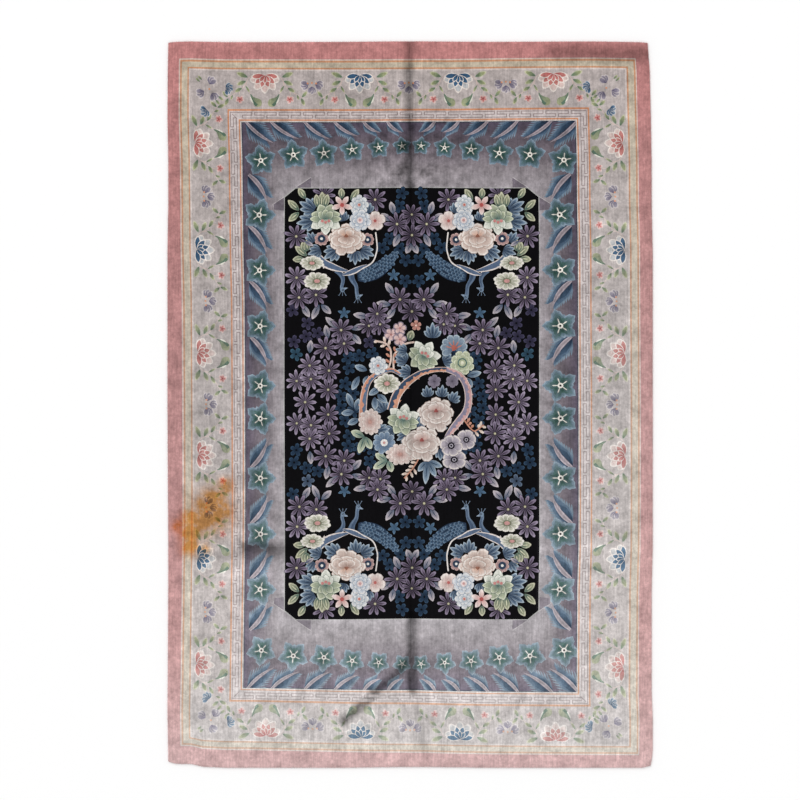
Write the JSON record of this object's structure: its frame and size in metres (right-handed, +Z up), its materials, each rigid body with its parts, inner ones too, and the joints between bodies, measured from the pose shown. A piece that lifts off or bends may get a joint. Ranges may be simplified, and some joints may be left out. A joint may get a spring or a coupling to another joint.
{
  "type": "rug",
  "caption": "Flat hand-knotted silk pile rug with a dark floral field, star-flower band, floral border and plain pink edge, laid on a floor.",
  "frame": {"origin": "middle of the underside, on the floor that the rug lies on", "axes": "+X across the rug, +Y along its length towards the far end, +Z up"},
  "size_m": [1.83, 2.74, 0.013],
  "materials": {
    "silk_pile": "cut silk pile with a soft sheen"
  },
  "bodies": {
    "root": {"rug": "silk_pile"}
  },
  "joints": []
}
